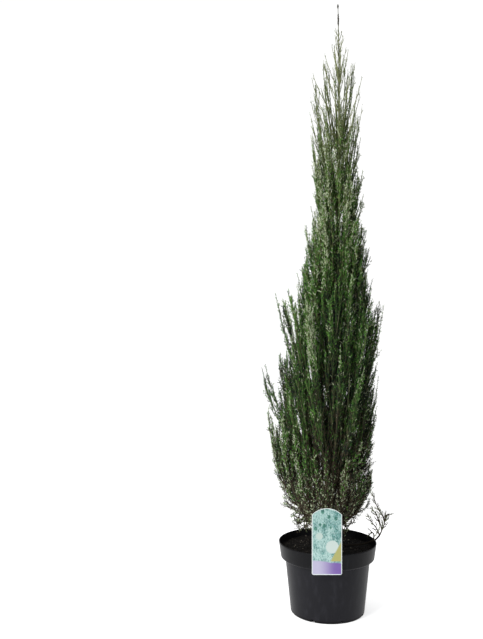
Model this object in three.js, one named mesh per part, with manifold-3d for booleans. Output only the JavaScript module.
// A columnar juniper about 1.4 m tall in a round nursery pot. Millimetres, +Z up, the pot's flat
// underside centred on the origin, and the side that carries the plant label facing -Y.
//
// A single trunk runs from the soil to the leader's tip. Plumes of foliage stand round it in tiers.
// Each tier fills the space between two cones that rise steeply outwards from the trunk, and is cut
// into equal sectors, so every plume keeps to a space of its own. The low tiers hang on boughs.
import * as THREE from "three";
import { mergeVertices } from "three/addons/utils/BufferGeometryUtils.js";
import Module from "manifold-3d";

const wasm = await Module();
wasm.setup();

// Pot
const potHeight = 165;
const rimRadius = 115;
const collarFootRadius = 110.5;
const collarHeight = 33;
const collarRounding = 9;
const bodyTopRadius = 99.5;
const baseRadius = 87;
const potWall = 2.2;
const potFloor = 3;
const footChamfer = 3;
const drainCount = 8;
const drainRadius = 6;
const drainDepth = 11;
const potSides = 36;

// Soil
const soilDepthBelowRim = 17;
const soilMound = 4;
const soilFlatRadius = 22;
const soilRoughness = 1.6;

// Label
const labelWidth = 67;
const labelTop = 270;
const labelBottom = 122;
const labelArch = 14.5;
const labelCorner = 4;
const labelThickness = 0.8;
const labelX = -14;
const stakeWidth = 20;

// Trunk. Neighbouring solids stay clearance apart. A bough ends tipGap before the stem that goes on
// from it, because the two ends are a little turned to each other.
const clearance = 0.3;
const tipGap = 0.5;
const trunkFoot = potHeight - soilDepthBelowRim + soilMound + clearance;
const trunkTip = 1439;
const trunkFootX = 4;
const trunkTipX = 25;
const trunkLean = 48;
const trunkSway = 4;
const trunkFootRadius = 9.5;
const leaderRadius = 1.4;
const flareRadius = 4.5;
const flareHeight = 16;
const trunkSides = 8;
const trunkSteps = 16;

// Crown outline, seen from the front: [height, reach to the left, reach to the right] of the pot's axis
const crownOutline = [
  [185, 60, 42],
  [200, 76, 54],
  [225, 96, 76],
  [260, 108, 98],
  [350, 124, 112],
  [440, 138, 114],
  [540, 164, 116],
  [578, 164, 119],
  [595, 124, 120],
  [690, 122, 128],
  [725, 130, 138],
  [756, 132, 122],
  [768, 86, 118],
  [810, 70, 104],
  [895, 58, 97],
  [960, 42, 90],
  [1060, 38, 82],
  [1140, 40, 78],
  [1215, 46, 84],
  [1268, 42, 80],
  [1290, 28, 70],
  [1320, 8, 52],
  [1345, -8, 42],
  [1360, -18, 38],
];

// Tiers, from the soil up. Each lies between its own cone and the next one's. A cone leaves the trunk
// at height foot and climbs by steep times the rise below. A tier's plumes hang on boughs that reach
// out to bough. Their shoots' cores are at most core in radius, with a few sprays about spray long on each.
const riseRadius = 100;
const riseBend = 1.4;
const tiers = [
  { name: "skirt", foot: 152, steep: 0.4, count: 5, turn: 0.3, bough: 34, core: 22, sprays: 2, spray: 60 },
  { name: "lower", foot: 208, steep: 1.65, count: 5, turn: 0.93, bough: 34, core: 22, sprays: 2, spray: 78 },
  { name: "middle", foot: 315, steep: 2.2, count: 5, turn: 0.3, bough: 0, core: 22, sprays: 2, spray: 84 },
  { name: "shoulder", foot: 445, steep: 2.9, count: 5, turn: 0.93, bough: 0, core: 22, sprays: 2, spray: 84 },
  { name: "upper", foot: 590, steep: 3.6, count: 4, turn: 0.2, bough: 0, core: 20, sprays: 2, spray: 80 },
  { name: "neck", foot: 730, steep: 4.2, count: 4, turn: 1.0, bough: 0, core: 17, sprays: 2, spray: 76 },
  { name: "high", foot: 870, steep: 4.8, count: 3, turn: 0.5, bough: 0, core: 16, sprays: 2, spray: 72 },
  { name: "spire", foot: 1010, steep: 5.4, count: 3, turn: 1.5, bough: 0, core: 8, sprays: 2, spray: 64 },
  { name: "leader", foot: 1165, steep: 6.0, count: 3, turn: 0.4, bough: 0, core: 0, sprays: 2, spray: 46 },
];
const crownTop = { foot: 1335, steep: 6.0 };
const freshFromTier = 5;

// Plumes: each is a stem and two side shoots that fork from it close to the trunk
const cellMargin = 0.8;
const shootsPerPlume = 3;
const routeStart = 0.5;
const routePoints = 9;
const forkRange = [0.05, 0.15];
const laneReached = 0.3;
const stemLine = 0.5;
const shootRises = [0.93, 0.8, 0.65, 0.5];
const riseWorth = 45;
const shootBend = 1.6;
const leastVigour = 0.92;
const leastWhipVigour = 0.6;
const stem = { steps: 6, leafFrom: 0.2, thickness: 1 };
const sideShoot = { steps: 5, leafFrom: 0.12, thickness: 0.75 };
const boughFootRadius = 4.2;
const boughTipRadius = 2.6;
const topStemRadius = 1.5;
const shootTipRadius = 0.8;

// Cores of close foliage and the sprays that stand out of them
const coreSides = 5;
const coreInset = 0.45;
const leastRoom = 1;
const ringPoints = [0, 1, 2, 3, 4, 5, 6, 7];
const sprayWidth = 10;
const whipWidth = 1.8;
const sprayRootDepth = 0.55;
const sprayLean = [0.25, 0.5];
const lastSprayAt = 0.86;
const sprayAttempts = 6;
const sprayShortening = 0.8;

// Low stray bough over the rim: its route to the fork, and the prongs that rise from there
const strayRoute = [
  [4, -1, 160],
  [40, -6, 156.5],
  [78, -10, 159],
  [106, -12, 168.4],
  [113, -12, 171.5],
  [121.5, -13, 181],
];
const strayRadius = 2.3;
const prongs = [
  [[121.5, -13, 181], [128, -14, 196], [133, -15, 211], [138, -16, 232]],
  [[132, -15, 208], [131, -20, 223], [114, -32, 250], [97, -50, 291]],
  [[127, -14, 195], [119, -18, 218], [110, -28, 236], [97, -42, 252]],
  [[121.5, -13, 181], [114, -20, 198], [101, -30, 216], [88, -43, 236]],
];
const prongRadius = 1.8;
const prongTipRadius = 1;
const prongSprays = 3;
const prongSpray = 22;
const prongSprayWidth = 2.2;
const prongSprayLean = 0.7;
const strayLimb = { sides: 5, steps: 10 };

const up = new THREE.Vector3(0, 0, 1);
const tau = 2 * Math.PI;
const goldenAngle = Math.PI * (3 - Math.sqrt(5));

// Small tools

const point = ([x, y, z]) => new THREE.Vector3(x, y, z);
const mix = (a, b, t) => a + (b - a) * t;

// Numbers from 0 to 1 that are the same on every run
function seeded(seed) {
  let state = seed;
  return () => {
    state = (state + 0x6d2b79f5) | 0;
    let t = Math.imul(state ^ (state >>> 15), 1 | state);
    t = (t + Math.imul(t ^ (t >>> 7), 61 | t)) ^ t;
    return ((t ^ (t >>> 14)) >>> 0) / 4294967296;
  };
}

function solidOf(geometry) {
  const bare = geometry.clone();
  for (const name of Object.keys(bare.attributes)) {
    if (name !== "position") bare.deleteAttribute(name);
  }
  const merged = mergeVertices(bare, 1e-4);
  return new wasm.Manifold(
    new wasm.Mesh({
      numProp: 3,
      vertProperties: new Float32Array(merged.attributes.position.array),
      triVerts: new Uint32Array(merged.index.array),
    }),
  );
}

function geometryOf(solid) {
  const mesh = solid.getMesh();
  return new THREE.BufferGeometry()
    .setAttribute("position", new THREE.BufferAttribute(mesh.vertProperties, 3))
    .setIndex(new THREE.BufferAttribute(mesh.triVerts, 1));
}

// Joins solids into one body. A scrap that touches nothing is dropped.
function fuse(solids) {
  const bodies = wasm.Manifold.union(solids).decompose();
  return bodies.reduce((best, body) => (body.volume() > best.volume() ? body : best));
}

// A limb that tapers along a route: a cylinder bent to the curve. The radius is a function of the share
// of the route that is behind.
function limb(route, radiusAt, sides, steps) {
  const curve = new THREE.CatmullRomCurve3(route);
  const frames = curve.computeFrenetFrames(steps);
  const geometry = new THREE.CylinderGeometry(1, 1, 1, sides, steps);
  const positions = geometry.attributes.position;
  for (let i = 0; i < positions.count; i++) {
    const share = positions.getY(i) + 0.5;
    const ring = Math.round(share * steps);
    const across = frames.normals[ring];
    const along = new THREE.Vector3().crossVectors(across, frames.tangents[ring]);
    const place = curve
      .getPointAt(share)
      .addScaledVector(across, positions.getX(i) * radiusAt(share))
      .addScaledVector(along, positions.getZ(i) * radiusAt(share));
    positions.setXYZ(i, place.x, place.y, place.z);
  }
  return geometry;
}

// Trunk

const climbed = (z) => (z - trunkFoot) / (trunkTip - trunkFoot);

function trunkAxis(z) {
  const h = Math.min(Math.max(climbed(z), 0), 1);
  const straightening = 1 - (1 - (trunkTipX - trunkFootX) / trunkLean) * h * h;
  return new THREE.Vector3(
    trunkFootX + trunkLean * h ** 1.25 * straightening,
    trunkSway * Math.sin(tau * h),
    z,
  );
}

function trunkRadius(z) {
  const h = Math.min(Math.max(climbed(z), 0), 1);
  const flare = flareRadius * Math.exp(-(z - trunkFoot) / flareHeight);
  return trunkFootRadius * (1 - h) ** 0.85 + leaderRadius + flare;
}

// Rings lie close together at the root flare, where the trunk narrows fastest.
function trunkGeometry(extra) {
  const geometry = new THREE.CylinderGeometry(1, 1, 1, trunkSides, trunkSteps);
  const positions = geometry.attributes.position;
  for (let i = 0; i < positions.count; i++) {
    const share = (positions.getY(i) + 0.5) ** 1.6;
    const z = mix(trunkFoot, trunkTip, share);
    const radius = trunkRadius(z) + extra;
    const axis = trunkAxis(z);
    // The cylinder's X and Z become the plant's Y and X, which keeps its faces pointing outwards.
    positions.setXYZ(i, axis.x + positions.getZ(i) * radius, axis.y + positions.getX(i) * radius, z);
  }
  return geometry;
}

// Crown

// How far the crown reaches from the trunk's axis in a direction: its left and right from the outline,
// and their mean towards the front and back.
function reach(angle, z) {
  const last = crownOutline.length - 2;
  const above = crownOutline.findIndex(([height]) => height > z);
  const i = above < 0 ? last : Math.max(above - 1, 0);
  const [low, lowLeft, lowRight] = crownOutline[i];
  const [high, highLeft, highRight] = crownOutline[i + 1];
  const t = Math.min(Math.max((z - low) / (high - low), 0), 1);
  const axis = trunkAxis(z).x;
  const left = mix(lowLeft, highLeft, t) + axis;
  const right = mix(lowRight, highRight, t) - axis;
  return (left + right) / 2 + ((right - left) / 2) * Math.cos(angle);
}

const coneHeight = (cone, r) => cone.foot + cone.steep * riseRadius * (r / riseRadius) ** riseBend;

function place(r, angle, z) {
  return trunkAxis(z).add(new THREE.Vector3(r * Math.cos(angle), r * Math.sin(angle), 0));
}

// The space of one plume: a sector of its tier
function cellOf(tier, index) {
  return {
    lower: tier,
    upper: tiers[tiers.indexOf(tier) + 1] ?? crownTop,
    angle: tier.turn + (tau * index) / tier.count,
    halfAngle: Math.PI / tier.count,
  };
}

// Height in a cell at a distance from the trunk: share 0 is on its lower cone, 1 on its upper one
const cellHeight = (cell, r, share) => mix(coneHeight(cell.lower, r), coneHeight(cell.upper, r), share);

function inside(cell, p) {
  const axis = trunkAxis(p.z);
  const x = p.x - axis.x;
  const y = p.y - axis.y;
  const r = Math.hypot(x, y);
  const angle = Math.atan2(y, x);
  const turn = Math.abs(Math.atan2(Math.sin(angle - cell.angle), Math.cos(angle - cell.angle)));
  return (
    r > trunkRadius(p.z) + 3 * cellMargin &&
    r < reach(angle, p.z) &&
    turn < cell.halfAngle &&
    r * Math.sin(Math.min(cell.halfAngle - turn, Math.PI / 2)) > cellMargin &&
    p.z > coneHeight(cell.lower, r) + 2 * cellMargin &&
    p.z < coneHeight(cell.upper, r) - 2 * cellMargin
  );
}

function boughRoute(cell, to, steps) {
  return Array.from({ length: steps + 1 }, (_, i) => {
    const r = mix(routeStart, to, i / steps);
    return place(r, cell.angle, cellHeight(cell, r, stemLine));
  });
}

// Where a shoot ends: its distance from the trunk and its share of the cell's height. It stands close
// enough to the crown's outline for its core to fill it, and stops lower down where the crown bulges.
function shootEnd(cell, angle, core) {
  const ends = shootRises.map((rise) => {
    let r = 10;
    while (r + coreInset * core < reach(angle, cellHeight(cell, r + 1, rise))) r += 1;
    return { r, rise };
  });
  const worth = (end) => end.r + riseWorth * end.rise;
  return ends.reduce((best, end) => (worth(end) > worth(best) ? end : best));
}

// A shoot leaves the stem's line at the fork, swings across to the middle of its own lane, and turns
// upright along the crown's outline. One of less vigour stays lower and further in.
function shootRoute(cell, lane, from, core, vigour) {
  const end = shootEnd(cell, lane.angle, core);
  return Array.from({ length: routePoints + 1 }, (_, i) => {
    const t = i / routePoints;
    const angle = mix(cell.angle, lane.angle, Math.min(t / laneReached, 1));
    const r = mix(from, vigour * end.r, 1 - (1 - t) ** shootBend);
    return place(r, angle, cellHeight(cell, r, mix(stemLine, vigour * end.rise, t ** 3)));
  });
}

// The largest radius up to a limit at which a ring round the curve still lies inside the cell
function roomAround(cell, curve, share, limit) {
  const centre = curve.getPointAt(share);
  const across = new THREE.Vector3().crossVectors(curve.getTangentAt(share), up).normalize();
  const along = new THREE.Vector3().crossVectors(across, curve.getTangentAt(share));
  const fits = (radius) =>
    ringPoints.every((k) => {
      const turn = (tau * k) / ringPoints.length;
      const corner = centre.clone().addScaledVector(across, radius * Math.cos(turn));
      return inside(cell, corner.addScaledVector(along, radius * Math.sin(turn)));
    });
  let radius = limit;
  while (radius > leastRoom && !fits(radius + 1)) radius -= 0.5;
  return radius;
}

// One spray of scale leaves: a slim three-sided cone that stands on its root
function sprayGeometry(root, direction, width, length) {
  const across = new THREE.Vector3().crossVectors(direction, up).normalize();
  const basis = new THREE.Matrix4()
    .makeBasis(across, direction, new THREE.Vector3().crossVectors(across, direction))
    .setPosition(root);
  return new THREE.ConeGeometry(width / 2, length, 3).translate(0, length / 2, 0).applyMatrix4(basis);
}

function staysInside(cell, geometry, root, width) {
  const positions = geometry.attributes.position;
  const corner = new THREE.Vector3();
  for (let i = 0; i < positions.count; i++) {
    corner.fromBufferAttribute(positions, i);
    if (corner.distanceTo(root) < width) continue;
    if (!inside(cell, corner)) return false;
    if (!inside(cell, corner.lerp(root, 0.5))) return false;
  }
  return true;
}

// Sprays in a spiral up a shoot, rooted deep in its core. Each is shortened until it keeps to the cell,
// and left out if it never does.
function spraysOf(cell, tier, curve, radiusAt, leafFrom, random) {
  const sprays = [];
  for (let i = 0; i < tier.sprays; i++) {
    const share = mix(leafFrom, lastSprayAt, (i + 0.6 * random()) / tier.sprays);
    const turn = i * goldenAngle + random();
    const tangent = curve.getTangentAt(share);
    const across = new THREE.Vector3().crossVectors(tangent, up).normalize();
    const outward = new THREE.Vector3()
      .crossVectors(across, tangent)
      .multiplyScalar(Math.cos(turn))
      .addScaledVector(across, Math.sin(turn));
    const direction = tangent.clone().addScaledVector(outward, mix(...sprayLean, random())).normalize();
    const root = curve.getPointAt(share).addScaledVector(outward, sprayRootDepth * radiusAt(share));
    const width = (tier.core > 0 ? sprayWidth : whipWidth) * mix(0.8, 1.2, random());
    let length = tier.spray * mix(0.8, 1.3, random());
    for (let attempt = 0; attempt < sprayAttempts; attempt++) {
      const spray = sprayGeometry(root, direction, width, length);
      if (staysInside(cell, spray, root, width)) {
        sprays.push(solidOf(spray));
        break;
      }
      length *= sprayShortening;
    }
  }
  return sprays;
}

// A shoot is one limb: a bare twig that swells into a core of close foliage and closes to the plume's
// tip, with sprays that stand out of it. Where the crown is open, the twig runs on bare to its tip.
function shootOf(cell, lane, tier, curve, stemRadius, kind, random) {
  const radiusAt = (share) => {
    const twig = mix(kind.thickness * stemRadius, shootTipRadius, share);
    if (tier.core === 0 || share <= kind.leafFrom) return twig;
    const t = (share - kind.leafFrom) / (1 - kind.leafFrom);
    const fullness = Math.sin(Math.PI * Math.min(t, 0.99) ** 0.9) ** 0.45;
    return Math.max(twig, (roomAround(lane, curve, share, tier.core) - 0.5) * fullness);
  };
  const sides = tier.core > 0 ? coreSides : 3;
  return [
    solidOf(limb(curve.points, radiusAt, sides, kind.steps)),
    ...spraysOf(cell, tier, curve, radiusAt, kind.leafFrom + 0.08, random),
  ];
}

const bark = new THREE.MeshStandardMaterial({ color: 0x5d4636, roughness: 0.9, metalness: 0 });
const twigBark = new THREE.MeshStandardMaterial({ color: 0x6b4a35, roughness: 0.85, metalness: 0 });
const deepGreen = new THREE.MeshStandardMaterial({ color: 0x2f4a2a, roughness: 0.7, metalness: 0 });
const freshGreen = new THREE.MeshStandardMaterial({ color: 0x55713a, roughness: 0.7, metalness: 0 });
const potBlack = new THREE.MeshStandardMaterial({ color: 0x26262a, roughness: 0.45, metalness: 0 });
const soilBrown = new THREE.MeshStandardMaterial({ color: 0x2a1e17, roughness: 1, metalness: 0 });
const labelTeal = new THREE.MeshStandardMaterial({ color: 0x8cc7bd, roughness: 0.35, metalness: 0 });

const plant = new THREE.Group();

function add(name, solid, material) {
  const mesh = new THREE.Mesh(geometryOf(solid), material);
  mesh.name = name;
  plant.add(mesh);
}

const trunkSpace = solidOf(trunkGeometry(clearance));

// A bough runs from the trunk along its plume's cell, and the plume's stem goes on from its tip. Where a
// tier has no boughs, the stem itself starts at the trunk. Either is cut clear of the trunk. The stem
// runs on as the plume's middle shoot, and the others fork from it.
function addPlume(tier, index) {
  const cell = cellOf(tier, index);
  const random = seeded(1000 * tiers.indexOf(tier) + 17 * index + 5);
  const number = index + 1;
  const stemFrom = Math.max(tier.bough, routeStart);
  const vigour = () => mix(tier.core > 0 ? leastVigour : leastWhipVigour, 1, random());
  const stemRoute = shootRoute(cell, cell, stemFrom, tier.core, vigour());
  const stemRadius = tier.bough > 0 ? boughTipRadius : mix(boughTipRadius, topStemRadius, climbed(tier.foot));
  if (tier.bough > 0) {
    const route = boughRoute(cell, tier.bough, 4);
    const tipDirection = stemRoute[1].clone().sub(stemRoute[0]).normalize();
    route[4].addScaledVector(tipDirection, -tipGap);
    const shape = limb(route, (t) => mix(boughFootRadius, boughTipRadius, t), 5, 2);
    add(`${tier.name}_bough_${number}`, fuse([solidOf(shape).subtract(trunkSpace)]), bark);
  }
  const pieces = [];
  const halfLane = cell.halfAngle / shootsPerPlume;
  const firstLane = cell.angle - cell.halfAngle + halfLane;
  for (let i = 0; i < shootsPerPlume; i++) {
    const lane = { ...cell, halfAngle: halfLane, angle: firstLane + 2 * i * halfLane };
    if (2 * i + 1 === shootsPerPlume) {
      const curve = new THREE.CatmullRomCurve3(stemRoute);
      pieces.push(...shootOf(cell, lane, tier, curve, stemRadius, stem, random));
    } else {
      const fork = mix(stemFrom, shootEnd(cell, cell.angle, tier.core).r, mix(...forkRange, random()));
      const curve = new THREE.CatmullRomCurve3(shootRoute(cell, lane, fork, tier.core, vigour()));
      pieces.push(...shootOf(cell, lane, tier, curve, stemRadius, sideShoot, random));
    }
  }
  const plume = fuse([wasm.Manifold.union(pieces).subtract(trunkSpace)]);
  add(`${tier.name}_plume_${number}`, plume, tiers.indexOf(tier) < freshFromTier ? deepGreen : freshGreen);
}

// Pot: a thin tapered shell with a deep collar, arched drain notches round its foot, and a flat underside
function potSolid() {
  const collarFoot = potHeight - collarHeight;
  const stepFoot = collarFoot - collarRounding;
  const profile = [
    [0, 0],
    [baseRadius - footChamfer, 0],
    [baseRadius, footChamfer],
    [bodyTopRadius, stepFoot],
    [mix(bodyTopRadius, collarFootRadius, 0.75), stepFoot + 0.3 * collarRounding],
    [collarFootRadius, collarFoot],
    [rimRadius, potHeight],
    [rimRadius - potWall, potHeight],
    [collarFootRadius - potWall, collarFoot + potWall],
    [bodyTopRadius - potWall, stepFoot + potWall],
    [baseRadius - potWall, potFloor],
    [0, potFloor],
  ];
  const shell = new THREE.LatheGeometry(
    profile.map(([r, z]) => new THREE.Vector2(r, z)),
    potSides,
  ).rotateX(Math.PI / 2);
  const notches = Array.from({ length: drainCount }, (_, i) =>
    solidOf(
      new THREE.CylinderGeometry(drainRadius, drainRadius, drainDepth, 8)
        .translate(0, baseRadius - drainDepth / 2 + 2, 0)
        .rotateZ((tau * (i + 0.35)) / drainCount),
    ),
  );
  return solidOf(shell).subtract(wasm.Manifold.union(notches));
}

// The label's stake, as a strip bent over the rim and down into the soil. Grown by margin on all sides
// it is the slot that the soil leaves for it.
function stakeSolid(margin) {
  const plateY = -rimRadius - clearance;
  const route = [
    [plateY - 0.4, potHeight + 6],
    [plateY + 5.2, potHeight + 2.6],
    [plateY + 8.2, potHeight - 6],
    [plateY + 17, potHeight - 31],
  ];
  const half = labelThickness / 2 + margin;
  const outline = new THREE.Shape();
  const side = (sign) =>
    route.map(([y, z], i) => {
      const [beforeY, beforeZ] = route[Math.max(i - 1, 0)];
      const [afterY, afterZ] = route[Math.min(i + 1, route.length - 1)];
      const length = Math.hypot(afterY - beforeY, afterZ - beforeZ);
      const end = i === route.length - 1 ? margin / length : 0;
      return new THREE.Vector2(
        y - (sign * half * (afterZ - beforeZ)) / length + end * (afterY - beforeY),
        z + (sign * half * (afterY - beforeY)) / length + end * (afterZ - beforeZ),
      );
    });
  outline.setFromPoints([...side(1), ...side(-1).reverse()]);
  const width = stakeWidth + 2 * margin;
  const strip = new THREE.ExtrudeGeometry(outline, { depth: width, bevelEnabled: false });
  // The outline is drawn in Y and Z, and the strip's width runs along X.
  const turned = new THREE.Matrix4().makeBasis(new THREE.Vector3(0, 1, 0), up, new THREE.Vector3(1, 0, 0));
  return solidOf(strip.translate(0, 0, -width / 2).applyMatrix4(turned).translate(labelX, 0, 0));
}

// Label: a thin plate with an arched top that stands in front of the rim, fused to its stake
function labelSolid() {
  const half = labelWidth / 2;
  const shoulder = labelTop - labelArch;
  const archRadius = (half * half + labelArch * labelArch) / (2 * labelArch);
  const archHalf = Math.asin(half / archRadius);
  const outline = new THREE.Shape();
  outline.moveTo(-half, labelBottom + labelCorner);
  outline.absarc(-half + labelCorner, labelBottom + labelCorner, labelCorner, Math.PI, 1.5 * Math.PI);
  outline.absarc(half - labelCorner, labelBottom + labelCorner, labelCorner, 1.5 * Math.PI, tau);
  outline.lineTo(half, shoulder);
  const archCentre = labelTop - archRadius;
  outline.absarc(0, archCentre, archRadius, Math.PI / 2 - archHalf, Math.PI / 2 + archHalf);
  const plate = new THREE.ExtrudeGeometry(outline, {
    depth: labelThickness,
    bevelEnabled: false,
    curveSegments: 5,
  })
    .rotateX(Math.PI / 2)
    .translate(labelX, -rimRadius - clearance, 0);
  return fuse([solidOf(plate), stakeSolid(0)]);
}

// Soil: fills the pot to below the rim, rough on top, flat under the trunk, with a slot for the stake
function soilSolid() {
  const top = potHeight - soilDepthBelowRim;
  const stepFoot = potHeight - collarHeight - collarRounding;
  const skin = potWall + clearance;
  const slope = (bodyTopRadius - baseRadius) / (stepFoot - footChamfer);
  const bottom = potFloor + clearance;
  const collarSlope = (rimRadius - collarFootRadius) / collarHeight;
  const edge = collarFootRadius + collarSlope * (collarHeight - soilDepthBelowRim) - skin - 0.5;
  const rings = [
    [0, bottom],
    [baseRadius + slope * (bottom - footChamfer) - skin - 0.5, bottom],
    [bodyTopRadius - skin - 0.5, stepFoot + potWall],
    [collarFootRadius - skin - 0.7, stepFoot + collarRounding + potWall + 1],
    [edge, top],
    [mix(edge, soilFlatRadius, 0.3), mix(top, top + soilMound, 0.3)],
    [mix(edge, soilFlatRadius, 0.65), mix(top, top + soilMound, 0.65)],
    [soilFlatRadius, top + soilMound],
    [0, top + soilMound],
  ];
  const lathe = new THREE.LatheGeometry(
    rings.map(([r, z]) => new THREE.Vector2(r, z)),
    potSides / 2,
  ).rotateX(Math.PI / 2);
  const merged = mergeVertices(lathe.deleteAttribute("normal").deleteAttribute("uv"), 1e-3);
  const positions = merged.attributes.position;
  const random = seeded(77);
  for (let i = 0; i < positions.count; i++) {
    const r = Math.hypot(positions.getX(i), positions.getY(i));
    const rough = positions.getZ(i) > top + 0.1 && r > soilFlatRadius + 1;
    if (rough) positions.setZ(i, positions.getZ(i) + soilRoughness * (2 * random() - 1));
  }
  return fuse([solidOf(merged).subtract(stakeSolid(clearance))]);
}

// A stray bough leaves the foot of the trunk, crosses the rim and forks. The fork and its prongs are one
// open spray that starts where the bough ends.
function addStrayBough() {
  const route = strayRoute.map(point);
  const fork = route[route.length - 1];
  const lastStretch = fork.clone().sub(route[route.length - 2]).normalize();
  const boughEnd = fork.clone().addScaledVector(lastStretch, -clearance);
  const boughTo = (end, extra) => {
    const radiusAt = (t) => mix(strayRadius, prongRadius, t) + extra;
    return solidOf(limb([...route.slice(0, -1), end], radiusAt, strayLimb.sides, strayLimb.steps));
  };
  add("stray_bough", fuse([boughTo(boughEnd, 0).subtract(trunkSpace)]), bark);

  const random = seeded(9001);
  const pieces = [];
  for (const prong of prongs) {
    const line = prong.map(point);
    pieces.push(solidOf(limb(line, (t) => mix(prongRadius, prongTipRadius, t), 4, 4)));
    const curve = new THREE.CatmullRomCurve3(line);
    for (let i = 0; i < prongSprays; i++) {
      const share = mix(0.45, 0.95, i / (prongSprays - 1));
      const turn = i * goldenAngle;
      const around = new THREE.Vector3(Math.cos(turn), Math.sin(turn), 0);
      const direction = curve.getTangentAt(share).addScaledVector(around, prongSprayLean).normalize();
      const length = prongSpray * mix(0.7, 1.1, random());
      pieces.push(solidOf(sprayGeometry(curve.getPointAt(share), direction, prongSprayWidth, length)));
    }
  }
  add("stray_spray", fuse([wasm.Manifold.union(pieces).subtract(boughTo(fork, clearance))]), twigBark);
}

add("pot", potSolid(), potBlack);
add("soil", soilSolid(), soilBrown);
add("label", labelSolid(), labelTeal);
add("trunk", solidOf(trunkGeometry(0)), bark);
for (const tier of tiers) {
  for (let index = 0; index < tier.count; index++) addPlume(tier, index);
}
addStrayBough();

export default plant;
